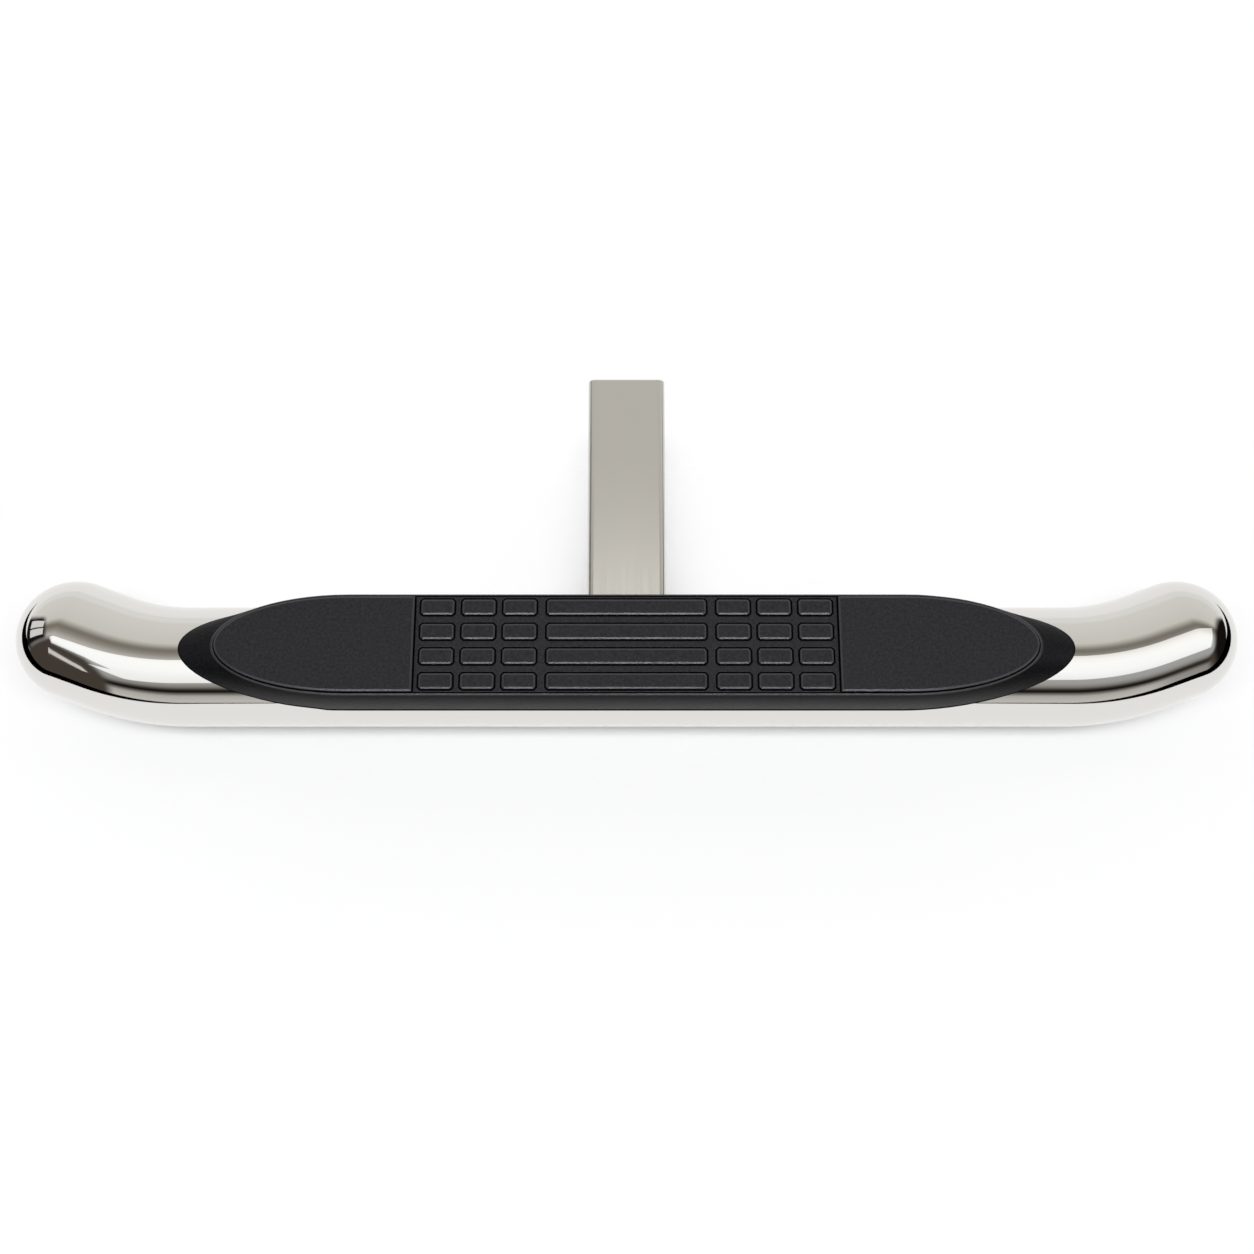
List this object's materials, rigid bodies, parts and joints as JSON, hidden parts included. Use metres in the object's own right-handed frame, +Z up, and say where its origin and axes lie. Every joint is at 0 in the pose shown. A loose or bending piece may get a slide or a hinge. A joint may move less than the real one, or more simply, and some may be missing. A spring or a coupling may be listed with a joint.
{
  "type": "hitch receiver step",
  "caption": "Hitch step: polished round bar with domed ends bent to the rear, black moulded tread pad on top and a square shank with a cross hole that slides into a receiver.",
  "frame": {"origin": "centre of the hitch pin hole, on the shank's centre line", "axes": "+X along the bar and the pin hole, +Y along the shank towards the vehicle, +Z up"},
  "size_m": [0.7808, 0.23, 0.0866],
  "materials": {
    "polished_steel": "mirror polished stainless steel",
    "satin_steel": "satin stainless steel",
    "weld_steel": "stainless weld bead, brushed",
    "pad_plastic": "black, fine moulded grain",
    "clip_plastic": "black, smooth"
  },
  "bodies": {
    "root": {"bar_tube": "polished_steel", "end_domes": "polished_steel", "receiver_shank": "satin_steel", "shank_weld": "weld_steel", "step_pad": "pad_plastic", "pad_clips": "clip_plastic"}
  },
  "joints": []
}
